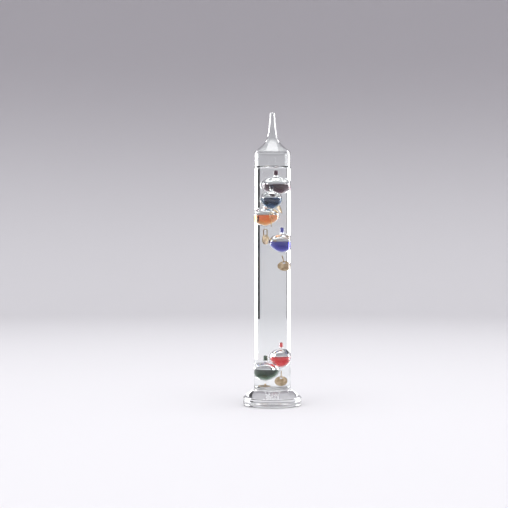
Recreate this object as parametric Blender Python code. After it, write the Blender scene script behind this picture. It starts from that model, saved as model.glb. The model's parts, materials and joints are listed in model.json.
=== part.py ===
"""Galileo thermometer: a sealed glass tube on a solid glass foot, with six blown-glass floats.

Frame: +Z up, metres. The origin is the middle of the foot's flat underside. Each float is a
bulb with its coloured liquid, a sealed neck on top and a glass eye underneath. A wire link
hangs in the eye and carries a brass tag.
"""

import math

import bpy
from mathutils import Matrix, Vector

MM = 0.001

# ---- driving dimensions -------------------------------------------------------------------
TOTAL_HEIGHT = 280 * MM       # underside of the foot to the drawn-off tip
TUBE_OD = 35 * MM
TUBE_WALL = 1.9 * MM
TIP_HEIGHT = 31.4 * MM        # the drawn-off tip above its neck
SHOULDER_HEIGHT = 8.1 * MM    # where the tube closes to the neck
SHOULDER_PULL = (0.75, 0.72, 0.20)  # shares of the shoulder's width and height that shape its curve
NECK_OD = 19.1 * MM
TIP_OD = 4.8 * MM
TIP_BASE_OD = 9.9 * MM        # the tip's even taper, run down to the neck without its flare
TIP_FLARE = 4.6 * MM          # height over which the flare fades to a third
TIP_WALL = 1.0 * MM
AIR_SPACE = 14.5 * MM         # clear liquid's surface under the start of the shoulder

FOOT_OVERHANG = 10.3 * MM     # the foot outside the tube, all round
FOOT_RIM_TOP = 7.1 * MM       # top of the foot's upright rim
FOOT_TOP = 15.9 * MM          # the tube stands here
FOOT_TOP_EDGE = 2.0 * MM      # rounding over the rim
FOOT_LOW_EDGE = 2.4 * MM      # rounding under the rim
FOOT_EDGE_ANGLE = 53          # degrees of the top edge's arc that are round
FOOT_SLOPE = ((0.05, 0.12), (0.22, 0.30), (0.60, 0.64))  # shares of the run and the drop
FLOOR_Z = 17.4 * MM           # bottom of the liquid space

BULB_SHARE = 0.545            # a bulb's width as a share of the tube's bore
BULB_SLENDERNESS = 0.6235     # depth under the widest level, as a share of the bulb's width
BULB_POINT = 0.75             # 0.5 would make the lower half an ellipse, 1 a parabola
BULB_WALL = 0.7 * MM
BULB_NECK_OD = 3.2 * MM
BULB_NECK_BORE = 1.8 * MM
BULB_NECK_HEIGHT = 5.3 * MM   # straight neck above the dome
NECK_FLARE = 0.5 * MM         # the neck widens by this where it meets the dome
TAIL_OD = 1.9 * MM
TAIL_LENGTH = 0.6 * MM        # solid glass under the bulb's rounded bottom
LIQUID_FILL = 0.0 * MM        # coloured liquid's level above the bulb's widest level
SEAL_HEIGHT = 1.5 * MM
SEAL_STEM = 1.0 * MM          # the seal's stem in the bore

EYE_RADIUS = 1.6 * MM         # glass eye, to the middle of its rod
EYE_ROD = 1.0 * MM
LINK_WIRE = 0.6 * MM
LINK_LENGTH = 5.5 * MM        # eye's rod to the middle of the link's lower bend
TAG_OD = 9.2 * MM
TAG_THICKNESS = 0.6 * MM
TAG_HOLE = 1.8 * MM
TAG_EDGE = 0.7 * MM           # brass left above the hole
TAG_BEVEL = 0.12 * MM
TAG_LYING_ROOM = 2.0 * MM     # height over the floor of a lying tag's eye rod

GAP = 0.3 * MM                # clearance between pieces that touch on the real object

ROUND = 16                    # segments of a bulb
TUBE_ROUND = 32               # segments of the tube and foot

# ---- sizes that follow ----------------------------------------------------------------------
NECK_Z = TOTAL_HEIGHT - TIP_HEIGHT
SHOULDER_Z = NECK_Z - SHOULDER_HEIGHT
LIQUID_Z = SHOULDER_Z - AIR_SPACE
BORE = TUBE_OD - 2 * TUBE_WALL
FOOT_OD = TUBE_OD + 2 * FOOT_OVERHANG
BULB_OD = BULB_SHARE * BORE
BULB_DEPTH = BULB_SLENDERNESS * BULB_OD   # widest level down to the end of the tail
FLOAT_TOP = BULB_OD / 2 + BULB_NECK_HEIGHT + GAP + SEAL_HEIGHT
EYE_DROP = BULB_DEPTH + 2 * EYE_RADIUS    # widest level down to the rod that the link hangs on
FLOAT_RISE = max(BULB_DEPTH, 2 * BULB_NECK_HEIGHT)   # long necks hold floats apart
HANG_LENGTH = LINK_LENGTH + TAG_OD        # a hanging tag ends less than this below that rod
FREE_ROOM = (BORE - BULB_OD) / 2 - GAP    # how far a bulb can stand from the tube's axis

# Floats from the surface down, then from the floor up. Name: liquid colour, bearing from +X in
# degrees, share of the free room, step from the float before in float rises, then how its tag
# hangs in degrees: facing (turn about Z), swing (out of its plane), lean (in its plane).
UPPER_FLOATS = {
    "purple": ((0.10, 0.02, 0.07), 72.77, 0.993, 0, (104, -14, 0)),
    "teal": ((0.01, 0.12, 0.20), -100.2, 0.58, 1.2736, (90, 0, 20)),
    "amber": ((0.85, 0.30, 0.03), 126.3, 0.994, 1.4906, (60, 0, 0)),
    "blue": ((0.06, 0.06, 0.45), 25.80, 0.98, 2.3962, (8, 0, -10)),
}
LOWER_FLOATS = {
    "green": ((0.02, 0.10, 0.06), 125.3, 0.9915, 0, (-13, -87, 0)),
    "red": ((0.75, 0.03, 0.05), -7.47, 0.905, 1.2075, (10, 0, 0)),
}

GLASS = (0.86, 0.90, 0.92)
BRASS = (0.78, 0.60, 0.30)
STEEL = (0.62, 0.58, 0.48)


# ---- helpers ------------------------------------------------------------------------------
def clear_scene():
    for obj in list(bpy.data.objects):
        bpy.data.objects.remove(obj, do_unlink=True)


def material(name, colour, roughness=0.05, metallic=0.0, transmission=0.0):
    mat = bpy.data.materials.new(name)
    mat.use_nodes = True
    shader = mat.node_tree.nodes["Principled BSDF"]
    shader.inputs["Base Color"].default_value = (*colour, 1.0)
    shader.inputs["Roughness"].default_value = roughness
    shader.inputs["Metallic"].default_value = metallic
    shader.inputs["Transmission Weight"].default_value = transmission
    mat.diffuse_color = (*colour, 1.0)
    return mat


def add_object(name, verts, faces, mat, sharp=40):
    mesh = bpy.data.meshes.new(name)
    mesh.from_pydata(verts, [], faces)
    mesh.materials.append(mat)
    mesh.shade_smooth()
    mesh.set_sharp_from_angle(angle=math.radians(sharp))
    obj = bpy.data.objects.new(name, mesh)
    bpy.context.collection.objects.link(obj)
    return obj


def turned(name, profile, segments, mat):
    """Turn a profile of (radius, z) points round Z; it runs from one point on the axis to another.

    The profile goes down the outer side first, so that the faces point out."""
    verts, rings, faces = [], [], []
    for radius, z in profile:
        if radius <= 0:
            rings.append([len(verts)])
            verts.append((0.0, 0.0, z))
            continue
        rings.append(list(range(len(verts), len(verts) + segments)))
        for i in range(segments):
            a = 2 * math.pi * i / segments
            verts.append((radius * math.cos(a), radius * math.sin(a), z))
    for upper, lower in zip(rings, rings[1:]):
        for i in range(segments):
            j = (i + 1) % segments
            if len(upper) == 1:
                faces.append((upper[0], lower[i], lower[j]))
            elif len(lower) == 1:
                faces.append((upper[i], lower[0], upper[j]))
            else:
                faces.append((upper[i], lower[i], lower[j], upper[j]))
    return add_object(name, verts, faces, mat)


def rod_loop(name, path, radius, sides, mat):
    """Carry a round section along a closed, flat path in the XZ plane."""
    count = len(path)
    verts, faces = [], []
    for i, (x, z) in enumerate(path):
        ahead, behind = path[(i + 1) % count], path[i - 1]
        tangent = Vector((ahead[0] - behind[0], 0, ahead[1] - behind[1])).normalized()
        side = Vector((tangent.z, 0, -tangent.x))
        for k in range(sides):
            b = 2 * math.pi * k / sides
            offset = side * math.cos(b) + Vector((0, 1, 0)) * math.sin(b)
            verts.append(Vector((x, 0, z)) + offset * radius)
    for i in range(count):
        here, there = i * sides, (i + 1) % count * sides
        for k in range(sides):
            n = (k + 1) % sides
            faces.append((here + k, here + n, there + n, there + k))
    return add_object(name, verts, faces, mat)


def arc(cx, cz, radius, start, stop, steps):
    """Points (r, z) on an arc; angles in degrees from +r towards +z."""
    angles = [math.radians(start + (stop - start) * i / steps) for i in range(steps + 1)]
    return [(cx + radius * math.cos(a), cz + radius * math.sin(a)) for a in angles]


def combine(target, tool, operation):
    """Join the tool to the target, or cut it out, keep the result as a mesh, remove the tool."""
    mod = target.modifiers.new("combine", "BOOLEAN")
    mod.operation = operation
    mod.object = tool
    depsgraph = bpy.context.evaluated_depsgraph_get()
    mesh = bpy.data.meshes.new_from_object(target.evaluated_get(depsgraph))
    mesh.name = target.name
    target.modifiers.clear()
    target.data = mesh
    mesh.shade_smooth()
    mesh.set_sharp_from_angle(angle=math.radians(40))
    bpy.data.objects.remove(tool, do_unlink=True)


def empty(name, matrix, parent=None):
    obj = bpy.data.objects.new(name, None)
    bpy.context.collection.objects.link(obj)
    obj.empty_display_size = 4 * MM
    if parent:
        obj.parent = parent
    obj.matrix_world = matrix
    return obj


# ---- the vessel ---------------------------------------------------------------------------
def tip_radius(z, outer):
    """Radius of the drawn-off tip: an even taper, plus a flare that grows towards the neck."""
    end = TOTAL_HEIGHT - TIP_OD / 2
    taper = TIP_OD / 2 + (TIP_BASE_OD - TIP_OD) / 2 * (end - z) / (end - NECK_Z)
    flare = (NECK_OD - TIP_BASE_OD) / 2 * math.exp(-(z - NECK_Z) / TIP_FLARE)
    return taper + flare - (0 if outer else TIP_WALL)


def shoulder(outer, steps=5):
    """The shoulder from the neck down to the tube: a Bezier curve tangent to both."""
    inset = 0 if outer else TUBE_WALL
    r_neck, r_tube = tip_radius(NECK_Z, outer), TUBE_OD / 2 - inset
    z_tube = SHOULDER_Z - inset / 2
    width, height = r_tube - r_neck, NECK_Z - z_tube
    along, down, up = SHOULDER_PULL
    corners = [(r_neck, NECK_Z), (r_neck + along * width, NECK_Z - down * height),
               (r_tube, z_tube + up * height), (r_tube, z_tube)]
    points = []
    for i in range(1, steps + 1):
        t = i / steps
        weights = [(1 - t) ** 3, 3 * t * (1 - t) ** 2, 3 * t * t * (1 - t), t ** 3]
        points.append(tuple(sum(w * c[k] for w, c in zip(weights, corners)) for k in (0, 1)))
    return points


def tip_heights(steps=8):
    """Heights down the tip, closer together where it flares."""
    end = TOTAL_HEIGHT - TIP_OD / 2
    return [NECK_Z + (end - NECK_Z) * (1 - i / steps) ** 1.5 for i in range(steps + 1)]


def make_tube(mat):
    """The long glass tube, closed at the top by its drawn-off tip and open at the bottom."""
    bottom = FOOT_TOP + GAP
    cap = arc(0, TOTAL_HEIGHT - TIP_OD / 2, TIP_OD / 2, 90, 22.5, 3)[1:]
    outer = [(0, TOTAL_HEIGHT)] + cap + [(tip_radius(z, True), z) for z in tip_heights()]
    outer += shoulder(True) + [(TUBE_OD / 2, bottom)]
    inner = [(TUBE_OD / 2 - TUBE_WALL, bottom)] + shoulder(False)[::-1]
    inner += [(tip_radius(z, False), z) for z in reversed(tip_heights())]
    bore = TIP_OD / 2 - TIP_WALL
    inner += arc(0, TOTAL_HEIGHT - TIP_OD / 2, bore, 0, 90, 2)[1:-1]
    inner.append((0, TOTAL_HEIGHT - TIP_OD / 2 + bore))
    return turned("glass_tube", outer + inner, TUBE_ROUND, mat)


def make_foot(mat):
    """The solid glass foot. Its low boss fills the tube's open end and is the liquid's floor."""
    r_rim, r_tube = FOOT_OD / 2, TUBE_OD / 2
    r_boss = r_tube - TUBE_WALL - GAP
    profile = [(0, FLOOR_Z), (r_boss, FLOOR_Z), (r_boss, FOOT_TOP), (r_tube, FOOT_TOP)]
    top_edge = arc(r_rim - FOOT_TOP_EDGE, FOOT_RIM_TOP, FOOT_TOP_EDGE, FOOT_EDGE_ANGLE, 0, 3)
    run, drop = top_edge[0][0] - r_tube, FOOT_TOP - top_edge[0][1]
    profile += [(r_tube + run * f, FOOT_TOP - drop * d) for f, d in FOOT_SLOPE]
    profile += top_edge
    profile += arc(r_rim - FOOT_LOW_EDGE, FOOT_LOW_EDGE, FOOT_LOW_EDGE, 0, -90, 4)
    profile.append((0, 0))
    return turned("base_foot", profile, TUBE_ROUND, mat)


# ---- one float ----------------------------------------------------------------------------
def bulb_radius(depth, inset):
    """Radius at a depth under the widest level: a rounded cone that runs out into the tail."""
    radius = BULB_OD / 2 - inset
    length = BULB_DEPTH - TAIL_LENGTH - inset
    body = radius * max(0.0, 1 - (depth / length) ** 2) ** BULB_POINT
    return body if inset else math.hypot(body, TAIL_OD / 2)


def bulb_profiles():
    """Outer and inner profile of the bulb, both from top to bottom."""
    neck, bore = BULB_NECK_OD / 2, BULB_NECK_BORE / 2
    top = BULB_OD / 2 + BULB_NECK_HEIGHT
    start = math.degrees(math.acos((neck + NECK_FLARE) / (BULB_OD / 2)))
    outer = [(neck, top), (neck, BULB_OD / 2 + NECK_FLARE / 2)]
    outer += arc(0, 0, BULB_OD / 2, start, 12, 5)
    depths = [0.06, 0.32, 0.52, 0.70, 0.83, 0.91, 0.96, 1.0]
    outer += [(bulb_radius(BULB_DEPTH * d, 0), -BULB_DEPTH * d) for d in depths]
    outer.append((0, -BULB_DEPTH))
    inside = BULB_OD / 2 - BULB_WALL
    start = math.degrees(math.acos((bore + BULB_WALL / 8) / inside))
    inner = [(bore, top)] + arc(0, 0, inside, start, 10, 4)
    length = BULB_DEPTH - TAIL_LENGTH - BULB_WALL
    inner += [(bulb_radius(length * d, BULB_WALL), -length * d) for d in (0.1, 0.4, 0.65, 0.85, 0.96)]
    inner.append((0, -length))
    return outer, inner


def make_bulb(name, mat):
    """Blown bulb with an open neck on top and the glass eye melted on under its tail."""
    outer, inner = bulb_profiles()
    # from the cavity's lowest point up through the neck and down the outside
    bulb = turned(name + "_bulb", list(reversed(inner)) + outer, ROUND, mat)
    centre = -BULB_DEPTH - EYE_RADIUS
    steps = 12
    path = [(EYE_RADIUS * math.cos(a), centre + EYE_RADIUS * math.sin(a))
            for a in (2 * math.pi * i / steps for i in range(steps))]
    eye = rod_loop(name + "_eye", path, EYE_ROD / 2, 6, mat)
    combine(bulb, eye, "UNION")
    return bulb


def make_contents(name, mat):
    """Coloured liquid in the bulb, and the little that stays in the neck."""
    inset = BULB_WALL + GAP
    length = BULB_DEPTH - TAIL_LENGTH - inset
    profile = [(0, LIQUID_FILL), (BULB_OD / 2 - inset, LIQUID_FILL)]
    profile += [(bulb_radius(length * d, inset), -length * d) for d in (0.2, 0.45, 0.68, 0.86, 0.96)]
    profile.append((0, -length))
    liquid = turned(name + "_liquid", profile, ROUND, mat)
    low, high = BULB_OD / 2 - GAP, BULB_OD / 2 + BULB_NECK_HEIGHT - SEAL_STEM
    radius = BULB_NECK_BORE / 2 - GAP
    column = turned(name + "_neck_liquid", [(0, high), (radius, high), (radius, low), (0, low)], 8, mat)
    return liquid, column


def make_seal(name, mat):
    """Bead of melted glass that closes the neck, with a short stem in the bore."""
    neck, stem = BULB_NECK_OD / 2, BULB_NECK_BORE / 2 - GAP
    seat = BULB_OD / 2 + BULB_NECK_HEIGHT + GAP
    dome = [(neck * math.cos(a), seat + SEAL_HEIGHT * math.sin(a))
            for a in (math.radians(d) for d in (65, 35, 0))]
    profile = [(0, seat + SEAL_HEIGHT)] + dome
    profile += [(stem, seat), (stem, seat - SEAL_STEM), (0, seat - SEAL_STEM)]
    return turned(name + "_seal", profile, 10, mat)


def link_radius():
    """The link's bends clear the eye's rod by the gap."""
    return EYE_ROD / 2 + LINK_WIRE / 2 + GAP


def make_link(name, mat):
    """Wire link, in the YZ plane with the eye's rod in its upper bend at the origin."""
    bend, low = link_radius(), -(LINK_LENGTH - link_radius())
    path = arc(0, 0, bend, 0, 180, 5) + arc(0, low, bend, 180, 360, 5)
    link = rod_loop(name + "_link", path, LINK_WIRE / 2, 6, mat)
    link.data.transform(Matrix.Rotation(math.radians(90), 4, "Z"))
    return link


def make_tag(name, mat):
    """Round brass tag in the XZ plane, with the link's lower bend through its hole."""
    hole_z = -LINK_LENGTH - (TAG_HOLE - LINK_WIRE) / 2 + GAP
    centre_z = hole_z + TAG_HOLE / 2 + TAG_EDGE - TAG_OD / 2
    half = TAG_THICKNESS / 2
    rim = [(TAG_OD / 2 - TAG_BEVEL, half), (TAG_OD / 2, half - TAG_BEVEL)]
    rim += [(r, -z) for r, z in reversed(rim)]
    segments, hole_segments = 24, 10
    tag = turned(name + "_tag", [(0, half)] + rim + [(0, -half)], segments, mat)
    tool = turned(name + "_hole", [(0, 2 * half), (TAG_HOLE / 2, 2 * half), (TAG_HOLE / 2, -2 * half),
                                   (0, -2 * half)], hole_segments, mat)
    tool.data.transform(Matrix.Translation((0, hole_z - centre_z, 0)))
    combine(tag, tool, "DIFFERENCE")
    turn = Matrix.Rotation(math.radians(90), 4, "X")
    tag.data.transform(Matrix.Translation((0, 0, centre_z)) @ turn)
    return tag


def hang_matrix(place, hang):
    """World matrix of a tag's pivot: on the eye's rod, turned as the tag hangs."""
    facing, swing, lean = (math.radians(v) for v in hang)
    eye = place + Vector((0, 0, -BULB_DEPTH - EYE_RADIUS))
    turn = Matrix.Rotation(facing, 4, "Z") @ Matrix.Rotation(lean, 4, "Y")
    pivot = Matrix.Translation(eye) @ turn @ Matrix.Translation((0, 0, -EYE_RADIUS))
    return pivot @ Matrix.Rotation(swing, 4, "X")


def make_float(colour_name, colour, place, hang, glass, brass, steel):
    name = colour_name + "_float"
    liquid = material(colour_name + "_liquid", colour, 0.05, 0.0, 0.6)
    facing = Matrix.Rotation(math.radians(hang[0]), 4, "Z")
    slide = empty(name, Matrix.Translation(place) @ facing)
    pieces = [make_bulb(name, glass), *make_contents(name, liquid), make_seal(name, glass)]
    for obj in pieces:
        obj.parent = slide
    pivot = empty(colour_name + "_tag_pivot", hang_matrix(place, hang), slide)
    for obj in (make_link(colour_name, steel), make_tag(colour_name, brass)):
        obj.parent = pivot
    return slide


def make_floats(floats, level, way, mats):
    """Make floats one after another, upwards (way 1) or downwards (way -1) from a first level."""
    for name, (colour, bearing, share, step, hang) in floats.items():
        level += way * step * FLOAT_RISE
        if step and way > 0:    # its tag hangs clear of the floor
            level = max(level, FLOOR_Z + EYE_DROP + HANG_LENGTH - TAG_EDGE)
        angle, reach = math.radians(bearing), share * FREE_ROOM
        place = Vector((reach * math.cos(angle), reach * math.sin(angle), level))
        make_float(name, colour, place, hang, *mats)


def main():
    clear_scene()
    glass = material("clear_glass", GLASS, 0.03, 0.0, 0.95)
    brass = material("tag_brass", BRASS, 0.30, 1.0)
    steel = material("link_wire", STEEL, 0.30, 1.0)
    make_foot(glass)
    make_tube(glass)
    mats = (glass, brass, steel)
    make_floats(UPPER_FLOATS, LIQUID_Z - FLOAT_TOP - GAP, -1, mats)
    make_floats(LOWER_FLOATS, FLOOR_Z + EYE_DROP + TAG_LYING_ROOM, 1, mats)
    bpy.context.view_layer.update()


main()
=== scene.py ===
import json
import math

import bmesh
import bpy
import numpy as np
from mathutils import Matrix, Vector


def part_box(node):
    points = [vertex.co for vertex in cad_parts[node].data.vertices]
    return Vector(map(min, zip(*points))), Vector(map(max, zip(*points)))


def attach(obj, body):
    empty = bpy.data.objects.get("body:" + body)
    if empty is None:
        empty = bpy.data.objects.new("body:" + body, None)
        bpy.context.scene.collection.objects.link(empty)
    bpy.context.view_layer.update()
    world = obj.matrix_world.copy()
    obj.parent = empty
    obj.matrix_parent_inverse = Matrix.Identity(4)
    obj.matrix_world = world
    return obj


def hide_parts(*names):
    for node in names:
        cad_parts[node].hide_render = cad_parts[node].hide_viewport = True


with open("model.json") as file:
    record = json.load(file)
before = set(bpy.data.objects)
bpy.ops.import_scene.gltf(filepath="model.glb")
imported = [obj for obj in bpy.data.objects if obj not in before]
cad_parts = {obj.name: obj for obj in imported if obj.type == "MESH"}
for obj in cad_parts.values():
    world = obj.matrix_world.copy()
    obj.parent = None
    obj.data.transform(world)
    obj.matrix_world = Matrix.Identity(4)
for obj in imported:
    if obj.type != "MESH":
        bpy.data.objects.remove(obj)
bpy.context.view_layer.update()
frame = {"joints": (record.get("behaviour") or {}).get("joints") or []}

# %% [markdown]
# # A glass thermometer with six floats
#
# The object is a sealed glass tube of clear liquid on a solid glass foot. Six blown bulbs,
# each with its own coloured liquid and a brass tag, rise or sink as the clear liquid's
# density changes with temperature.
#
# Almost everything here is clear, so the lesson is about glass: what makes it visible is not
# its colour but how it bends and mirrors the room. Shapes are therefore made as true closed
# walls with an outside and an inside, and every surface between two clear materials gets the
# bending that those two materials have together.
#
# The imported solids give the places. The fine pieces below replace them.

# %% [markdown]
# ## Tools
#
# Four small helpers are used all through: one turns a hex colour into the linear values that a
# shader works with, one adds a shader node and connects it, one starts an empty material, and
# one makes a mesh from arrays. A mesh could also be built vertex by vertex, but whole arrays
# keep each surface's formula in one readable line. Faces that meet at more than 38 degrees
# stay sharp: a smoothed corner of clear glass would bend light as if it were a lens.

MM = 0.001
SHARP_ANGLE = math.radians(38)


def linear(hex_colour):
    """An sRGB hex colour as linear red, green and blue, the values that a shader works with."""
    channels = [int(hex_colour[i:i + 2], 16) / 255 for i in (1, 3, 5)]
    return tuple(c / 12.92 if c <= 0.04045 else ((c + 0.055) / 1.055) ** 2.4 for c in channels)


def node(tree, kind, links=None, **settings):
    """Add one shader node. Settings go to its sockets by name, or to its properties."""
    made = tree.nodes.new(kind)
    for key, value in settings.items():
        name = key.replace("_", " ")
        socket = next((s for s in made.inputs if s.name.lower() == name.lower()), None)
        if socket is not None:
            socket.default_value = value
        else:
            setattr(made, key, value)
    for name, source in (links or {}).items():
        tree.links.new(source, made.inputs[name])
    return made


def blank_material(name):
    """A new material with an empty node tree and its output node."""
    made = bpy.data.materials.new(name)
    made.use_nodes = True
    made.node_tree.nodes.clear()
    return made, made.node_tree, made.node_tree.nodes.new("ShaderNodeOutputMaterial")


def mesh_object(name, verts, faces, slots=None, materials=()):
    """A smooth mesh object from arrays of points and four- or three-cornered faces."""
    mesh = bpy.data.meshes.new(name)
    corners = [tuple(int(i) for i in face if i >= 0) for face in faces]
    mesh.from_pydata(np.asarray(verts).tolist(), [], corners)
    for made in materials:
        mesh.materials.append(made)
    if slots is not None:
        mesh.polygons.foreach_set("material_index", np.asarray(slots, np.int32))
    mesh.polygons.foreach_set("use_smooth", np.ones(len(mesh.polygons), bool))
    mesh.update()
    mesh.set_sharp_from_angle(angle=SHARP_ANGLE)
    made = bpy.data.objects.new(name, mesh)
    bpy.context.scene.collection.objects.link(made)
    return made


# %% [markdown]
# ## Turned surfaces
#
# Glass tube is worked hot on a lathe, so every clear piece is a surface of revolution. Blender
# can turn a profile with the Screw modifier, but here one profile carries several materials
# from one stretch to the next, so the surface is worked out directly: a profile of radius and
# height, times a full circle of angles.

# %% Turned surfaces
SAME_POINT = 1e-7             # metres; closer points of a profile count as one


def turned(profile, steps, centre=(0.0, 0.0)):
    """Points and faces of a turned surface.

    Point (i, k) is (r_i cos a_k, r_i sin a_k, z_i) with a_k = 2 pi k / steps. The profile runs
    down the outside, so that the faces look outwards. A radius of zero closes it with a pole.
    Returns points, faces (-1 marks an absent fourth corner) and each face's profile segment."""
    r, z = np.asarray(profile, float).T
    angle = 2 * math.pi * np.arange(steps) / steps
    pole = r <= 0
    size = np.where(pole, 1, steps)
    first = np.concatenate([[0], np.cumsum(size)[:-1]])
    ring = np.repeat(np.arange(len(r)), size)
    turn = np.arange(len(ring)) - first[ring]
    points = np.stack([centre[0] + r[ring] * np.cos(angle[turn % steps]),
                       centre[1] + r[ring] * np.sin(angle[turn % steps]), z[ring]], 1)
    k = np.arange(steps)
    nxt = (k + 1) % steps
    faces, segment = [], []
    for i in range(len(r) - 1):
        a, b = first[i], first[i + 1]
        if pole[i]:
            quad = np.stack([np.full(steps, a), b + k, b + nxt, np.full(steps, -1)], 1)
        elif pole[i + 1]:
            quad = np.stack([a + k, np.full(steps, b), a + nxt, np.full(steps, -1)], 1)
        else:
            quad = np.stack([a + k, b + k, b + nxt, a + nxt], 1)
        faces.append(quad)
        segment.append(np.full(steps, i))
    return points, np.concatenate(faces), np.concatenate(segment)


def arc(centre_r, centre_z, radius, start, stop, count):
    """Points (r, z) on an arc, angles in degrees from outwards towards up."""
    a = np.radians(np.linspace(start, stop, count))
    return np.stack([centre_r + radius * np.cos(a), centre_z + radius * np.sin(a)], 1)


def line(start, stop, count):
    """Evenly spaced points (r, z) on a straight line."""
    return np.linspace(start, stop, count)


def smooth_through(points, count):
    """A Catmull-Rom curve through the points, as count points per span."""
    p = np.asarray(points, float)
    p = np.vstack([2 * p[0] - p[1], p, 2 * p[-1] - p[-2]])
    t = np.linspace(0, 1, count, endpoint=False)[:, None]
    spans = []
    for a, b, c, d in zip(p[:-3], p[1:-2], p[2:-1], p[3:]):
        spans.append(0.5 * (2 * b + (c - a) * t + (2 * a - 5 * b + 4 * c - d) * t ** 2
                            + (3 * b - a - 3 * c + d) * t ** 3))
    return np.vstack(spans + [p[-2:-1]])


def join(*stretches):
    """Stretches of a profile end to end, with repeated points dropped."""
    whole = np.vstack([np.atleast_2d(s) for s in stretches])
    keep = np.r_[True, np.abs(np.diff(whole, axis=0)).sum(1) > SAME_POINT]
    return whole[keep]


def ended(profile, at):
    """The profile with the radius of one end point set to zero, so that a pole closes it."""
    closed = np.array(profile)
    closed[at, 0] = 0
    return closed


sample, _, _ = turned(arc(0, 0, 1, 90, -90, 9), 12)
print("a turned half circle of 9 points and 12 steps has", len(sample), "points")


# %% [markdown]
# ## What light does at each surface
#
# Light bends at a surface by the ratio of the two refractive indices. Borosilicate glass has
# about 1.47, the clear paraffin oil 1.44, the dyed liquid in the floats 1.385. Between glass and
# oil the ratio is only 1.02, which is why the tube's inner wall vanishes where it is wet, and
# the floats seem to reach the tube's outer edge.
#
# A renderer treats every surface as standing in air. One way out is to leave thin air gaps
# between glass and oil, but each gap mirrors light and shows as a silver skin. So the ratio is
# given outright: a wet wall gets 1.02 and a dry one 1.47, as two material slots of one piece,
# and a surface where two pieces are fused or the oil meets the wet wall bends nothing.

# %% Refractive indices
GLASS_INDEX = 1.472
OIL_INDEX = 1.440
DYE_INDEX = 1.385


def clear_material(name, index, tint="#FFFFFF", ripple_mm=14.0, ripple=0.02):
    """Clear material, smooth as fire-polished glass, with a faint drawn ripple in its surface."""
    made, tree, out = blank_material(name)
    place = node(tree, "ShaderNodeTexCoord")
    scaled = node(tree, "ShaderNodeMapping", {"Vector": place.outputs["Object"]}, Scale=(1, 1, 0.25))
    wave = node(tree, "ShaderNodeTexNoise", {"Vector": scaled.outputs["Vector"]},
                Scale=1 / (ripple_mm * MM), Detail=1.0)
    bump = node(tree, "ShaderNodeBump", {"Height": wave.outputs["Fac"]}, Strength=ripple,
                Distance=0.4 * MM)
    shader = node(tree, "ShaderNodeBsdfPrincipled", {"Normal": bump.outputs["Normal"]},
                  Base_Color=(*linear(tint), 1), Roughness=0.0, IOR=index, Transmission_Weight=1.0)
    tree.links.new(shader.outputs["BSDF"], out.inputs["Surface"])
    return made


# Borosilicate glass, nearly free of the green that window glass has
glass_dry = clear_material("borosilicate_glass_in_air", GLASS_INDEX, "#FBFDFC")
glass_wet = clear_material("borosilicate_glass_in_oil", GLASS_INDEX / OIL_INDEX, "#FDFEFE")
# Where tube and foot were melted together there is no surface left to see
glass_seam = clear_material("fused_glass_seam", 1.0, ripple=0.0)
# Clear paraffin oil: its free surface is level, so it gets no ripple
oil_surface = clear_material("paraffin_oil", OIL_INDEX, ripple=0.0)
oil_side = clear_material("paraffin_oil_against_glass", 1.0, ripple=0.0)
print(f"bending: glass in air {GLASS_INDEX:.3f}, glass in oil {GLASS_INDEX / OIL_INDEX:.3f}")

# %% [markdown]
# ## The tube
#
# The tube is drawn glass, 35 mm across with a wall of about 2 mm. Its top was heated, pulled
# into a thin hollow tip and melted shut once the tube had been filled. The outline is
# straight, then a soft shoulder, then a flare that fades upwards like a pulled thread: an even
# taper plus an exponential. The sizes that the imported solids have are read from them; the
# others are named here once.

# %% Vessel sizes
tube_low, tube_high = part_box("glass_tube")
foot_low, foot_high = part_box("base_foot")
TUBE_R = tube_high.x
HEIGHT = tube_high.z
WALL = 1.9 * MM
BORE_R = TUBE_R - WALL
FOOT_R = foot_high.x
FLOOR_Z = foot_high.z
PACKED_GAP = 0.3 * MM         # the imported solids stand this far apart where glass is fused
FOOT_SHOULDER_Z = tube_low.z - PACKED_GAP
OIL_LEVEL = 226 * MM
OIL_CLIMB = 1.8 * MM          # how far the oil climbs the wall

TIP_R = 2.4 * MM
TIP_WALL = 1.0 * MM
NECK_THICKENING = 0.7 * MM    # glass gathers where the tip was drawn off
NECK_SPREAD = 3.0 * MM
NECK_Z = 248.6 * MM
NECK_R = 9.55 * MM
TIP_BASE_R = 4.95 * MM
TIP_FLARE = 4.6 * MM
SHOULDER_Z = 240.5 * MM
SHOULDER_PULL = (0.75, 0.72, 0.20)


def tip_radius(z):
    """Radius of the drawn tip: an even taper, plus a flare that grows towards the neck."""
    end = HEIGHT - TIP_R
    taper = TIP_R + (TIP_BASE_R - TIP_R) * (end - z) / (end - NECK_Z)
    return taper + (NECK_R - TIP_BASE_R) * np.exp(-(z - NECK_Z) / TIP_FLARE)


def shoulder(inset, count=24):
    """Bezier curve from the neck to the tube, tangent to both, set in by the wall."""
    r0, r1 = NECK_R - (TIP_WALL if inset else 0), TUBE_R - inset
    low = SHOULDER_Z - inset / 2
    w, h = r1 - r0, NECK_Z - low
    along, down, up = SHOULDER_PULL
    p = np.array([(r0, NECK_Z), (r0 + along * w, NECK_Z - down * h), (r1, low + up * h), (r1, low)])
    t = np.linspace(0, 1, count)[:, None]
    s = 1 - t
    return s ** 3 * p[0] + 3 * t * s ** 2 * p[1] + 3 * t * t * s * p[2] + t ** 3 * p[3]


print(f"tube {2000 * TUBE_R:.1f} mm across, {1000 * HEIGHT:.1f} mm high, floor at {1000 * FLOOR_Z:.1f} mm")

# %% [markdown]
# ## The tube's wall
#
# A tube could be a surface thickened by a modifier, but its wall is not even: it thins out in
# the drawn tip and gathers in a ring where the tip was pulled off. So the profile runs down
# the outside, across the wall and back up the inside, with an outline of its own for each.
# The stretch of the inside that the oil wets becomes the wet slot; above it the wall is dry.

# %% Tube
TURN = 160                    # steps round the tube and the foot


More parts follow.
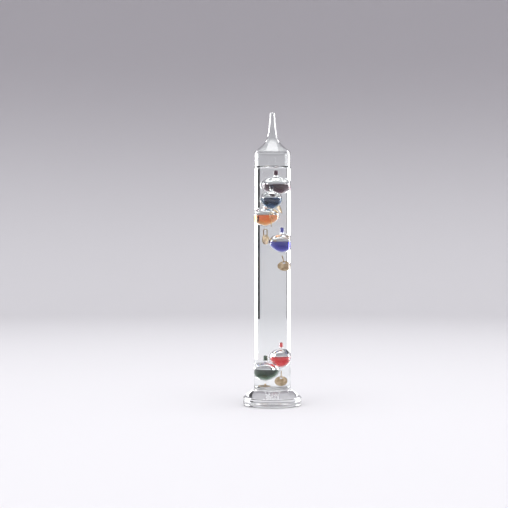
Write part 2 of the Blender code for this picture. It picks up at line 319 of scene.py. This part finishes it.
def tip_line(inset, count=40):
    """The tip's outline from its top to the neck."""
    drop = np.linspace(0, 1, count) ** 0.7 * (HEIGHT - TIP_R - NECK_Z)
    z = HEIGHT - TIP_R - drop
    return np.stack([tip_radius(z) - inset, z], 1)


def gathered(inside):
    """An inside outline, set in further about the neck: r - T exp(-((z - z_neck) / s)^2)."""
    r, z = inside.T
    swell = NECK_THICKENING * np.exp(-((z - NECK_Z) / NECK_SPREAD) ** 2)
    return np.stack([r - swell, z], 1)


def make_tube():
    """Outside from the tip down to the floor, across the wall, and back up inside."""
    cap = ended(arc(0, HEIGHT - TIP_R, TIP_R, 90, 5, 9), 0)
    outside = join(cap, tip_line(0), shoulder(0), line((TUBE_R, SHOULDER_Z), (TUBE_R, FLOOR_Z), 60))
    climb = OIL_LEVEL + OIL_CLIMB
    wet = line((BORE_R, FLOOR_Z), (BORE_R, climb), 60)
    inner_cap = ended(arc(0, HEIGHT - TIP_R, TIP_R - TIP_WALL, 5, 90, 7), -1)
    dry = join(line((BORE_R, climb), (BORE_R, SHOULDER_Z - WALL / 2), 6),
               gathered(shoulder(WALL)[::-1]), gathered(tip_line(TIP_WALL)[::-1]), inner_cap)
    profile = join(outside, wet, dry)
    points, faces, segment = turned(profile, TURN)
    n_out, n_wet = len(outside), len(wet)
    slots = np.where(segment < n_out - 1, 0, np.where(segment == n_out - 1, 2,
                     np.where(segment < n_out + n_wet - 1, 1, 0)))
    return mesh_object("tube_glass", points, faces, slots, [glass_dry, glass_wet, glass_seam])


tube = make_tube()
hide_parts("glass_tube")
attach(tube, "vessel")
print("tube faces:", len(tube.data.polygons))

# %% [markdown]
# ## The foot
#
# The foot is a solid pressed disc that was fused on while hot. Its top slopes down from the
# tube to a thick upright rim, and all its edges are rounded by the flame. A plain cylinder
# with a bevel would do for an opaque foot. Clear glass shows its whole inside, so the slope is
# a curve through measured shares of its run and drop, and the rim's two rounds differ.

# %% Foot
RIM_TOP_Z = 7.1 * MM
RIM_TOP_ROUND = 2.0 * MM
RIM_LOW_ROUND = 2.4 * MM
SEAM_LIP = 0.7 * MM           # the foot's glass creeps this far up the tube
SLOPE_BEND = ((0.07, 0.13), (0.24, 0.31), (0.60, 0.64))   # share of the run, share of the drop


def make_foot():
    """Floor, fused seam with the tube, slope, rim and flat underside."""
    top_edge = arc(FOOT_R - RIM_TOP_ROUND, RIM_TOP_Z, RIM_TOP_ROUND, 53, 0, 12)
    run, drop = top_edge[0, 0] - TUBE_R, FOOT_SHOULDER_Z - top_edge[0, 1]
    slope = [(TUBE_R, FOOT_SHOULDER_Z + SEAM_LIP), (TUBE_R, FOOT_SHOULDER_Z)]
    slope += [(TUBE_R + run * f, FOOT_SHOULDER_Z - drop * d) for f, d in SLOPE_BEND]
    slope = smooth_through(slope + [tuple(top_edge[0])], 8)
    slope[:, 0] = np.maximum(slope[:, 0], TUBE_R)
    floor = line((0, FLOOR_Z), (BORE_R, FLOOR_Z), 12)
    side = line((TUBE_R, FLOOR_Z), (TUBE_R, FOOT_SHOULDER_Z + SEAM_LIP), 4)
    low_edge = arc(FOOT_R - RIM_LOW_ROUND, RIM_LOW_ROUND, RIM_LOW_ROUND, 0, -90, 12)
    underside = line((FOOT_R - RIM_LOW_ROUND, 0), (0, 0), 8)
    profile = join(floor, side, slope, top_edge, low_edge, underside)
    points, faces, segment = turned(profile, TURN)
    slots = np.where(segment < len(floor) - 1, 1, np.where(segment == len(floor) - 1, 2, 0))
    return mesh_object("foot_glass", points, faces, slots, [glass_dry, glass_wet, glass_seam])


foot = make_foot()
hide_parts("base_foot")
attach(foot, "vessel")
print("foot faces:", len(foot.data.polygons))

# %% [markdown]
# ## The clear filling liquid
#
# The tube is filled with clear oil to about 14 mm under the shoulder. Oil wets glass, so its
# surface climbs the wall in a small curve, which shows as a bright ring. A flat disc would
# leave that ring out. The climb is an exponential of the distance from the wall, as for a real
# wetting liquid. The oil's sides touch the glass, where the tube's wet wall already does the
# bending, so they bend nothing themselves.

# %% Filling liquid
OIL_FIT = 0.01 * MM           # the oil stops this far short of the glass
OIL_REACH = 5.0 * MM          # the climb begins this far from the wall
OIL_FADE = 1.3 * MM           # and grows by e over this distance


def make_oil():
    """Top with its climbing edge C (exp(-d / f) - exp(-reach / f)), side and bottom."""
    edge, low = BORE_R - OIL_FIT, FLOOR_Z + OIL_FIT
    distance = np.concatenate([[edge], np.linspace(OIL_REACH, 0, 24)])
    rise = OIL_CLIMB * (np.exp(-distance / OIL_FADE) - math.exp(-OIL_REACH / OIL_FADE))
    top = np.stack([edge - distance, OIL_LEVEL + np.maximum(rise, 0)], 1)
    side = line((edge, top[-1, 1]), (edge, low), 40)
    bottom = line((edge, low), (0, low), 6)
    points, faces, segment = turned(join(top, side, bottom), TURN)
    slots = np.where(segment < len(top) - 1, 0, 1)
    return mesh_object("filling_oil", points, faces, slots, [oil_surface, oil_side])


oil = make_oil()
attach(oil, "vessel")
print(f"oil from {1000 * FLOOR_Z:.1f} to {1000 * OIL_LEVEL:.1f} mm")

# %% [markdown]
# ## The floats
#
# Each float is a blown bulb: a round dome above, a pointed body below that runs out into a
# tail, and on top a short neck, melted shut after the coloured liquid was weighed in. Dyed
# liquid fills the lower half and stays caught in the neck.
#
# Colour comes from absorption inside the liquid, not from a tinted surface. So the thin parts,
# at the rim and in the tail, are light and pure, and the thick middle is nearly black, as with
# real dye.
#
# The bulb is one turned wall with a hollow of its own: wet outside, dry inside. The dye
# reaches a hair's breadth into the wall. With a gap there, the dye would be ringed by silver.

# %% Float sizes
bulb_low, bulb_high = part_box("teal_float_bulb")
BULB_R = (bulb_high.x - bulb_low.x) / 2
BULB_WALL = 0.40 * MM
BULB_DEPTH = 10.6 * MM
BULB_POINT = 0.75             # 0.5 would make the lower half an ellipse, 1 a parabola
TAIL_R = 0.95 * MM
TAIL_LENGTH = 0.6 * MM
NECK_OUT_R = 1.6 * MM
NECK_BORE_R = 1.2 * MM
NECK_TOP = 7.1 * MM           # the sealed top over the round bulb's pole
NECK_FLARE = 1.2 * MM         # how far the neck widens into the bulb
SEAL_THICKNESS = 1.3 * MM     # glass over the neck's bore
EYE_R = 1.6 * MM
EYE_ROD_R = 0.5 * MM
FLOAT_TURN = 72
OVERLAP = 0.03 * MM
DYE_CLIMB = 0.9 * MM          # how far the dye climbs the bulb's wall
DYE_FADE = 0.9 * MM
DYE_REACH = 4.0 * MM
SYRUP_INDEX = 1.445           # the drop in the neck has thickened, nearer to the glass
SYRUP_STRENGTH = 4.0

COLOURS = {                   # dyed alcohol: its colour, and how strongly it absorbs, per metre
    "purple": ("#A24C78", 330.0),
    "teal": ("#1AA0C8", 400.0),
    "amber": ("#FFC634", 240.0),
    "blue": ("#5048E0", 310.0),
    "red": ("#F42E3E", 320.0),
    "green": ("#5C9C6C", 400.0),
}


def dye_material(name, colour, density, index=DYE_INDEX):
    """Dyed alcohol: bends light a little less than glass and swallows all but its own colour."""
    made, tree, out = blank_material(name)
    place = node(tree, "ShaderNodeTexCoord")
    wave = node(tree, "ShaderNodeTexNoise", {"Vector": place.outputs["Object"]}, Scale=1 / (9 * MM))
    bump = node(tree, "ShaderNodeBump", {"Height": wave.outputs["Fac"]}, Strength=0.01,
                Distance=0.2 * MM)
    shader = node(tree, "ShaderNodeBsdfPrincipled", {"Normal": bump.outputs["Normal"]},
                  Base_Color=(1, 1, 1, 1), Roughness=0.0, IOR=index, Transmission_Weight=1.0)
    absorb = node(tree, "ShaderNodeVolumeAbsorption", Color=(*linear(colour), 1), Density=density)
    tree.links.new(shader.outputs["BSDF"], out.inputs["Surface"])
    tree.links.new(absorb.outputs["Volume"], out.inputs["Volume"])
    return made


def lower_body(inset, count):
    """A rounded cone R (1 - (d/L)^2)^p that runs out into the tail, from the widest level down."""
    length = BULB_DEPTH - TAIL_LENGTH - inset
    d = length * np.sin(np.linspace(0, math.pi / 2, count))
    body = (BULB_R - inset) * np.maximum(0, 1 - (d / length) ** 2) ** BULB_POINT
    if inset:
        return np.stack([body, -d], 1)
    d = np.append(d, BULB_DEPTH)
    body = np.append(body, 0.0)
    return np.stack([np.hypot(body, TAIL_R), -d], 1)


def dome(inset, stop_r, count):
    """Round upper half, from where it meets the neck down to the widest level."""
    radius = BULB_R - inset
    return arc(0, 0, radius, math.degrees(math.acos(stop_r / radius)), 0, count)


def bulb_profile():
    """Outside from the sealed top down to the tail, and the hollow from neck to tail."""
    top = BULB_R + NECK_TOP
    bend = [(NECK_OUT_R, BULB_R + 1.4 * MM), (NECK_OUT_R + 0.08 * MM, BULB_R + 0.5 * MM),
            (NECK_OUT_R + 0.9 * MM, BULB_R - 0.42 * MM)]
    cap = ended(arc(0, top - NECK_OUT_R, NECK_OUT_R, 90, 0, 10), 0)
    outside = join(cap, smooth_through(bend, 6), dome(0, NECK_OUT_R + NECK_FLARE, 24),
                   lower_body(0, 28), [(0, -BULB_DEPTH)])
    bore_top = top - SEAL_THICKNESS - NECK_BORE_R
    bore = join(ended(arc(0, bore_top, NECK_BORE_R, 90, 0, 8), 0),
                line((NECK_BORE_R, bore_top), (NECK_BORE_R, BULB_R - 0.2 * MM), 4))
    hollow = join(bore, dome(BULB_WALL, NECK_BORE_R + 0.5 * MM, 20), lower_body(BULB_WALL, 24))
    return outside, ended(hollow, -1)


def ring_faces(rows, columns):
    """Four-cornered faces of a grid of points that closes on itself both ways."""
    i, k = np.meshgrid(np.arange(rows), np.arange(columns), indexing="ij")
    i2, k2 = (i + 1) % rows, (k + 1) % columns
    corners = (i * columns + k, i2 * columns + k, i2 * columns + k2, i * columns + k2)
    return np.stack(corners, -1).reshape(-1, 4)


def eye_ring(centre, facing):
    """Points and faces of the glass eye: a round rod bent to a ring, point (a, b) at
    centre + (R + r cos b)(cos a along, sin a up) + r sin b across."""
    steps, sides = 40, 14
    i, k = np.meshgrid(np.arange(steps), np.arange(sides), indexing="ij")
    a, b = 2 * math.pi * i / steps, 2 * math.pi * k / sides
    spread = EYE_R + EYE_ROD_R * np.cos(b)
    local = np.stack([spread * np.cos(a), -EYE_ROD_R * np.sin(b), spread * np.sin(a)], -1)
    c, s = math.cos(facing), math.sin(facing)
    turn = np.array([[c, -s, 0], [s, c, 0], [0, 0, 1]])
    return local.reshape(-1, 3) @ turn.T + np.asarray(centre), ring_faces(steps, sides)[:, ::-1]


def make_bulb(name, centre, facing):
    """Bulb wall with its hollow, and the eye under the tail."""
    outside, hollow = bulb_profile()
    x, y, z = centre
    po, fo, _ = turned(outside + [0, z], FLOAT_TURN, (x, y))
    ph, fh, _ = turned(hollow + [0, z], FLOAT_TURN, (x, y))
    fh = np.where(fh[:, 3:] < 0, fh[:, [0, 2, 1, 3]], fh[:, [0, 3, 2, 1]])
    pe, fe = eye_ring((x, y, z - BULB_DEPTH - EYE_R), facing)
    shift = np.where(fh < 0, 0, len(po))
    points = np.vstack([po, ph, pe])
    faces = np.vstack([fo, fh + shift, fe + len(po) + len(ph)])
    slots = np.concatenate([np.zeros(len(fo)), np.ones(len(fh)), np.zeros(len(fe))])
    return mesh_object(name + "_bulb_glass", points, faces, slots, [glass_wet, glass_dry])


def make_dye(name, centre, mat):
    """The liquid in the bulb, just into the glass, with its own small climbing edge."""
    x, y, z = centre
    body = ended(lower_body(BULB_WALL - OVERLAP, 26), -1)
    edge = BULB_R - BULB_WALL + OVERLAP
    distance = np.concatenate([[edge], np.linspace(DYE_REACH, 0, 16)])
    rise = DYE_CLIMB * np.exp(-distance / DYE_FADE)
    top = np.stack([(edge - distance) * np.sqrt(1 - (rise / BULB_R) ** 2), rise], 1)
    top[0] = (0, 0)
    profile = join(top, dome(BULB_WALL - OVERLAP, edge * 0.9985, 3)[1:], body)
    points, faces, _ = turned(profile + [0, z], FLOAT_TURN, (x, y))
    return mesh_object(name + "_dye", points, faces, materials=[mat])


def make_neck_dye(name, centre, mat):
    """The drop of dyed liquid that stays caught in the sealed neck."""
    x, y, z = centre
    radius = NECK_BORE_R + OVERLAP
    top = BULB_R + NECK_TOP - SEAL_THICKNESS + OVERLAP
    low = BULB_R + 0.9 * MM
    upper = arc(0, top - radius, radius, 90, 0, 8)
    a = np.linspace(0, math.pi / 2, 8)
    hollowed = np.stack([radius * np.cos(a), low + 0.5 * radius * np.sin(a)], 1)
    profile = ended(ended(join(upper, hollowed), 0), -1)
    points, faces, _ = turned(profile + [0, z], 32, (x, y))
    return mesh_object(name + "_neck_dye", points, faces, materials=[mat])


joints = {j["name"]: j for j in frame["joints"]}
for colour, (dye, density) in COLOURS.items():
    low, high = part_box(f"{colour}_float_liquid")
    centre = ((low.x + high.x) / 2, (low.y + high.y) / 2, high.z)
    axis = Vector(joints[f"{colour}_tag_swing"]["axis"])
    facing = math.atan2(axis.y, axis.x)
    dye_mat = dye_material(f"{colour}_dyed_alcohol", dye, density)
    neck_mat = dye_material(f"{colour}_dye_syrup", dye, SYRUP_STRENGTH * density, SYRUP_INDEX)
    bulb = make_bulb(colour, centre, facing)
    body = f"{colour}_float"
    dye_body, drop = make_dye(colour, centre, dye_mat), make_neck_dye(colour, centre, neck_mat)
    pieces = ((bulb, (f"{colour}_float_bulb", f"{colour}_float_seal"), "clear_glass"),
              (dye_body, (f"{colour}_float_liquid",), f"{colour}_liquid"),
              (drop, (f"{colour}_float_neck_liquid",), f"{colour}_liquid"))
    for piece, nodes, slot in pieces:
        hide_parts(*nodes)
        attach(piece, body)
    print(f"{colour} float at height {1000 * centre[2]:.1f} mm")

# %% [markdown]
# ## Tags and links
#
# Every tag is a small disc stamped from brass sheet: a raised rim, a raised number and a hole.
# It hangs on a link of bent brass wire. First the brass itself. Old brass is not one colour:
# tarnish lies in patches of a few millimetres, and handling leaves fine scratches. So one
# noise mixes two tones and a much finer one roughens the shine. A flat metal colour would
# look like plastic at this size.

# %% Brass
PATCH_MM = 2.4                # size of a patch of tarnish


def brass_material(name, bright, tarnished, roughness, grain_mm):
    """Worn brass: tarnish in patches, and fine scratches that spread the shine."""
    made, tree, out = blank_material(name)
    place = node(tree, "ShaderNodeTexCoord")
    patch = node(tree, "ShaderNodeTexNoise", {"Vector": place.outputs["Object"]},
                 Scale=1 / (PATCH_MM * MM), Detail=5.0)
    grain = node(tree, "ShaderNodeTexNoise", {"Vector": place.outputs["Object"]},
                 Scale=1 / (grain_mm * MM), Detail=3.0)
    spread = node(tree, "ShaderNodeMapRange", {"Value": patch.outputs["Fac"]}, From_Min=0.38,
                  From_Max=0.62)
    tone = node(tree, "ShaderNodeMix", {"Factor": spread.outputs["Result"]}, data_type="RGBA")
    tone.inputs[6].default_value = (*linear(bright), 1)
    tone.inputs[7].default_value = (*linear(tarnished), 1)
    rough = node(tree, "ShaderNodeMapRange", {"Value": grain.outputs["Fac"]},
                 To_Min=roughness - 0.08, To_Max=roughness + 0.12)
    bump = node(tree, "ShaderNodeBump", {"Height": grain.outputs["Fac"]}, Strength=0.2,
                Distance=0.04 * MM)
    shader = node(tree, "ShaderNodeBsdfPrincipled",
                  {"Base Color": tone.outputs[2], "Roughness": rough.outputs["Result"],
                   "Normal": bump.outputs["Normal"]}, Metallic=1.0)
    tree.links.new(shader.outputs["BSDF"], out.inputs["Surface"])
    return made


# Pale brass sheet, stamped and tumbled
stamped_brass = brass_material("stamped_brass", "#E6D0AC", "#B0916A", 0.36, 0.30)
# Drawn brass wire, darker than the sheet, tarnished in patches
wire_brass = brass_material("drawn_brass_wire", "#D8C098", "#9C8058", 0.30, 0.20)
print("brass for the tags and for the wire, tarnished in patches of", PATCH_MM, "mm")

# %% [markdown]
# ## Stamping and hanging the tags
#
# A disc with a hole is often cut with a Boolean. Here a ring of points glides from the hole's
# edge to the disc's edge instead, once over the front and once back over the rear. That gives
# clean quads all over, so the raised rim is a smooth step of the distance to the edge.
#
# The number stands proud of both faces as a separate flat-topped piece. Each tag is built
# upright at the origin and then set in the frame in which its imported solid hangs.

# %% Tags
TAG_R = 4.6 * MM
HOLE_R = 0.9 * MM
HOLE_DROP = 5.8 * MM          # eye's rod to the middle of the hole
DISC_DROP = 8.8 * MM          # eye's rod to the middle of the disc
SHEET = 0.42 * MM
RIM_WIDTH = 0.75 * MM
RIM_RISE = 0.09 * MM
RIM_STEP = 0.3 * MM           # the rim rises over this width
EDGE_ROUND = 0.07 * MM
NUMBER_SIZE = 3.4 * MM
NUMBER_LOWERED = 0.7 * MM     # under the disc's middle, to leave room for the hole
NUMBERS = {"purple": "28", "teal": "26", "amber": "24", "blue": "22", "red": "20", "green": "18"}


def tag_surface(turns=96):
    """A disc with an off-centre hole, as one closed loop of rings.

    Ring t lies between hole and edge: p = (1 - t) hole + t edge, with the corners rounded. The
    face rises by RIM_RISE within RIM_WIDTH of the edge, by a smooth step of the distance."""
    a = 2 * math.pi * np.arange(turns) / turns
    ring = np.stack([np.cos(a), np.sin(a)], 1)
    t = np.concatenate([np.linspace(0, 0.72, 14), np.linspace(0.74, 1, 26)])
    hole = ring * HOLE_R + [0, -HOLE_DROP + DISC_DROP]
    flat = (1 - t)[:, None, None] * hole + t[:, None, None] * ring * TAG_R
    rise = np.clip((np.hypot(*np.moveaxis(flat, 2, 0)) - TAG_R + RIM_WIDTH) / RIM_STEP, 0, 1)
    half = SHEET / 2 + RIM_RISE * rise ** 2 * (3 - 2 * rise)
    soft = np.minimum(np.minimum(t / 0.06, (1 - t) / 0.03), 1)[:, None]
    half = half - EDGE_ROUND * (1 - np.sqrt(1 - (1 - soft) ** 2))
    front = np.dstack([flat[..., 0], -half, flat[..., 1]])
    back = front[::-1] * [1, -1, 1]
    points = np.concatenate([front, back]).reshape(-1, 3)
    return points - [0, 0, DISC_DROP], ring_faces(2 * len(t), turns)


def number_mesh(text, size):
    """A stamped number as a flat-topped solid, middle at the origin, facing +Z."""
    curve = bpy.data.curves.new("number", "FONT")
    curve.body, curve.size = text, size
    curve.align_x, curve.align_y = "CENTER", "CENTER"
    curve.extrude, curve.bevel_depth, curve.resolution_u = 0.05 * MM, 0.03 * MM, 6
    curve.offset = -0.02 * MM
    holder = bpy.data.objects.new("number", curve)
    bpy.context.scene.collection.objects.link(holder)
    depsgraph = bpy.context.evaluated_depsgraph_get()
    mesh = bpy.data.meshes.new_from_object(holder.evaluated_get(depsgraph))
    bpy.data.objects.remove(holder)
    mesh.materials.clear()
    return mesh


def wire_loop(path, radius, sides=12):
    """A round wire bent to a closed loop in the YZ plane: p + radius (cos b across, sin b X)."""
    ahead = np.roll(path, -1, 0) - np.roll(path, 1, 0)
    ahead /= np.linalg.norm(ahead, axis=1)[:, None]
    across = np.stack([-ahead[:, 1], ahead[:, 0]], 1)
    b = 2 * math.pi * np.arange(sides) / sides
    flat = path[:, None] + radius * np.cos(b)[None, :, None] * across[:, None]
    x = np.broadcast_to(radius * np.sin(b), flat.shape[:2])
    points = np.dstack([x, flat[..., 0], flat[..., 1]]).reshape(-1, 3)
    return points, ring_faces(len(path), sides)


def outward(mesh):
    """Turn all faces of a closed mesh outwards."""
    work = bmesh.new()
    work.from_mesh(mesh)
    bmesh.ops.recalc_face_normals(work, faces=work.faces)
    work.to_mesh(mesh)
    work.free()


def hanging_frame(colour):
    """Where a tag hangs: X along the eye's rod, Z from the disc up to the rod, at the rod."""
    joint = joints[f"{colour}_tag_swing"]
    pivot, rod = Vector(joint["pos_m"]), Vector(joint["axis"]).normalized()
    low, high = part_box(f"{colour}_tag")
    up = pivot - (low + high) / 2
    up = (up - up.dot(rod) * rod).normalized()
    turn = Matrix((rod, up.cross(rod), up)).transposed()
    return Matrix.Translation(pivot) @ turn.to_4x4()


def place_mesh(made, matrix):
    """Put a finished mesh in its place and turn its faces outwards."""
    made.data.transform(matrix)
    outward(made.data)
    made.data.update()


def make_number(name, text, face, place):
    """A number on one face of a tag, -1 for the front and 1 for the back."""
    numeral = number_mesh(text, NUMBER_SIZE)
    upright = Matrix.Rotation(math.radians(90), 4, "X")
    turn = Matrix.Rotation(math.radians(0 if face < 0 else 180), 4, "Z")
    shift = Matrix.Translation((0, face * (SHEET / 2 + 0.02 * MM), -DISC_DROP - NUMBER_LOWERED))
    numeral.transform(place @ shift @ turn @ upright)
    numeral.materials.append(stamped_brass)
    made = bpy.data.objects.new(name, numeral)
    bpy.context.scene.collection.objects.link(made)
    return made


def stadium(bend, low):
    """The link's long loop as points (y, z): an upper bend about 0 and a lower one about low."""
    return np.vstack([arc(0, 0, bend, 0, 180, 17)[:-1], line((-bend, 0), (-bend, low), 6)[:-1],
                      arc(0, low, bend, 180, 360, 17)[:-1], line((bend, low), (bend, 0), 6)[:-1]])


LINK_BEND_R, LINK_LOW_BEND, LINK_WIRE_R = 1.1 * MM, -4.4 * MM, 0.3 * MM
link_path = stadium(LINK_BEND_R, LINK_LOW_BEND)
for colour, number in NUMBERS.items():
    place = hanging_frame(colour)
    disc = mesh_object(f"{colour}_brass_tag", *tag_surface(), materials=[stamped_brass])
    place_mesh(disc, place)
    front = make_number(f"{colour}_number_front", number, -1, place)
    back = make_number(f"{colour}_number_back", number, 1, place)
    link = mesh_object(f"{colour}_wire_link", *wire_loop(link_path, LINK_WIRE_R),
                       materials=[wire_brass])
    place_mesh(link, place)
    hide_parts(f"{colour}_tag")
    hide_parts(f"{colour}_link")
    for piece in (disc, link, front, back):
        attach(piece, f"{colour}_tag")
    print(f"{colour} tag reads {number}, hangs at {1000 * place.translation.z:.1f} mm")

# %% [markdown]
# ## Studio floor and cards
#
# A pale paper sweep: a round floor that curves up into a wall, so that no horizon line shows
# through the glass. It lies a tenth of a millimetre under the foot. If it touched, no light
# could get between them, and the clear foot would look black.
#
# Clear glass on a pale ground loses its outline. Photographers stand narrow black cards
# behind it, out of sight: the glass bends them into view as thin dark lines along its edges.

# %% Floor and backdrop
SWEEP_R, SWEEP_BEND, SWEEP_TOP = 2.6, 0.9, 2.6
FLOOR_GAP = 0.1 * MM
CARD_DISTANCE, CARD_HEIGHT = 1.5, 0.75
CARDS = {"left": (-39, -36), "right": (28, 37)}     # bearings in degrees from straight behind


def paper_material(name, low_tone, high_tone, reach):
    """Matt paper, a little darker with height, with a fine tooth."""
    made, tree, out = blank_material(name)
    place = node(tree, "ShaderNodeTexCoord")
    split = node(tree, "ShaderNodeSeparateXYZ", {"Vector": place.outputs["Object"]})
    height = node(tree, "ShaderNodeMapRange", {"Value": split.outputs["Z"]},
                  interpolation_type="SMOOTHSTEP", From_Min=0.0, From_Max=reach)
    tone = node(tree, "ShaderNodeMix", {"Factor": height.outputs["Result"]}, data_type="RGBA")
    tone.inputs[6].default_value = (*linear(low_tone), 1)
    tone.inputs[7].default_value = (*linear(high_tone), 1)
    tooth = node(tree, "ShaderNodeTexNoise", {"Vector": place.outputs["Object"]},
                 Scale=1 / (1.5 * MM))
    bump = node(tree, "ShaderNodeBump", {"Height": tooth.outputs["Fac"]}, Strength=0.05,
                Distance=0.05 * MM)
    shader = node(tree, "ShaderNodeBsdfPrincipled",
                  {"Base Color": tone.outputs[2], "Normal": bump.outputs["Normal"]}, Roughness=0.9,
                  Specular_IOR_Level=0.0)
    tree.links.new(shader.outputs["BSDF"], out.inputs["Surface"])
    return made


def make_sweep():
    """A round floor whose edge sweeps up into a wall, one turned sheet just under the foot."""
    flat, low = SWEEP_R - SWEEP_BEND, -FLOOR_GAP
    profile = join([(0, low)], line((0.05, low), (flat, low), 8),
                   arc(flat, SWEEP_BEND + low, SWEEP_BEND, -90, 0, 24), [(SWEEP_R, SWEEP_TOP)])
    points, faces, _ = turned(profile, 96)
    faces = np.where(faces[:, 3:] < 0, faces[:, [0, 2, 1, 3]], faces[:, [0, 3, 2, 1]])
    paper = paper_material("pale_paper", "#E4E3E6", "#B4B1B6", 0.8)
    return mesh_object("studio_sweep", points, faces, materials=[paper])


def make_card(name, start, stop, distance, height):
    """A black card on the floor, bent round the object from one bearing to another.

    Point (u, v) is (D sin a, D cos a, v H), with the bearing a between start and stop."""
    u, v = np.meshgrid(np.linspace(0, 1, 13), np.linspace(0, 1, 9), indexing="ij")
    a = np.radians(start + (stop - start) * u)
    points = np.stack([distance * np.sin(a), distance * np.cos(a), height * v], -1).reshape(-1, 3)
    i, k = np.meshgrid(np.arange(12), np.arange(8), indexing="ij")
    faces = np.stack([i * 9 + k, i * 9 + k + 1, (i + 1) * 9 + k + 1, (i + 1) * 9 + k], -1).reshape(-1, 4)
    felt = paper_material(name + "_felt", "#151416", "#1B1A1C", 1.0)
    made = mesh_object(name, points, faces, materials=[felt])
    made.visible_camera = False
    made.visible_diffuse = False
    return made


make_sweep()
for side, (start, stop) in CARDS.items():
    make_card(f"black_card_{side}", start, stop, CARD_DISTANCE, CARD_HEIGHT)
print("studio: a pale sweep and", len(CARDS), "black cards")

# %% [markdown]
# ## Lights
#
# A full tube acts as a lens that swaps left and right. So the white bands down its edges are
# the two tall soft lights behind it, each on the other side. Lamps in front would give small
# hard glints instead. The tall lights are kept off the floor, where they would only leave
# pale patches. A broad soft light above and an even pale room give the rest.

# %% Lights
def soft_light(name, place, aim, width, height, power, colour="#FFFFFF"):
    """A rectangular soft light at a place, turned towards a point."""
    lamp = bpy.data.lights.new(name, "AREA")
    lamp.shape = "RECTANGLE"
    lamp.size, lamp.size_y = width, height
    lamp.energy = power
    lamp.color = linear(colour)
    made = bpy.data.objects.new(name, lamp)
    bpy.context.scene.collection.objects.link(made)
    made.location = place
    made.rotation_euler = (Vector(aim) - Vector(place)).to_track_quat("-Z", "Y").to_euler()
    made.visible_camera = False
    return made


PANEL_DISTANCE, PANEL_MIDDLE, PANEL_HEIGHT = 0.46, 0.203, 0.40
PANEL_POWER = 14.0            # watts per square metre
PANELS = {"left": (-54.5, 0.255), "right": (46.5, 0.160)}     # bearing in degrees, width
for side, (bearing, width) in PANELS.items():
    a = math.radians(bearing)
    spot = (PANEL_DISTANCE * math.sin(a), PANEL_DISTANCE * math.cos(a), PANEL_MIDDLE)
    panel = soft_light(f"{side}_light", spot, (0, 0, PANEL_MIDDLE), width, PANEL_HEIGHT,
                       PANEL_POWER * width * PANEL_HEIGHT)
    panel.visible_diffuse = False
soft_light("top_light", (0, -0.3, 2.2), (0, 0, 0.1), 2.0, 2.0, 40.0)

world = bpy.data.worlds.new("soft_room")
world.use_nodes = True
room = world.node_tree.nodes["Background"]
room.inputs["Color"].default_value = (*linear("#F4F4F6"), 1)
room.inputs["Strength"].default_value = 0.9
bpy.context.scene.world = world
print("lights:", ", ".join(f"{side} panel {width:.3f} m wide" for side, (_, width) in PANELS.items()))

# %% [markdown]
# ## Camera
#
# A long lens from a little over a metre, level and at half the object's height, keeps the tube's
# sides upright. A thing made of nested clear walls needs many bounces: a ray that crosses
# one float and the tube meets more than a dozen surfaces, and where the count runs out the
# glass turns black.

# %% Camera
LENS = 83.9
DISTANCE = 1.132
cam_data = bpy.data.cameras.new("camera")
cam_data.lens = LENS
cam_data.sensor_width = 36
cam_data.shift_x = -0.036
cam = bpy.data.objects.new("camera", cam_data)
bpy.context.scene.collection.objects.link(cam)
cam.location = (0, -DISTANCE, 0.1444)
cam.rotation_euler = (math.radians(90), 0, 0)
bpy.context.scene.camera = cam

scene = bpy.context.scene
scene.view_settings.view_transform = "Standard"
scene.cycles.max_bounces = 40
scene.cycles.transmission_bounces = 36
scene.cycles.glossy_bounces = 12
print(f"camera {DISTANCE:.3f} m away with a {LENS:.1f} mm lens")
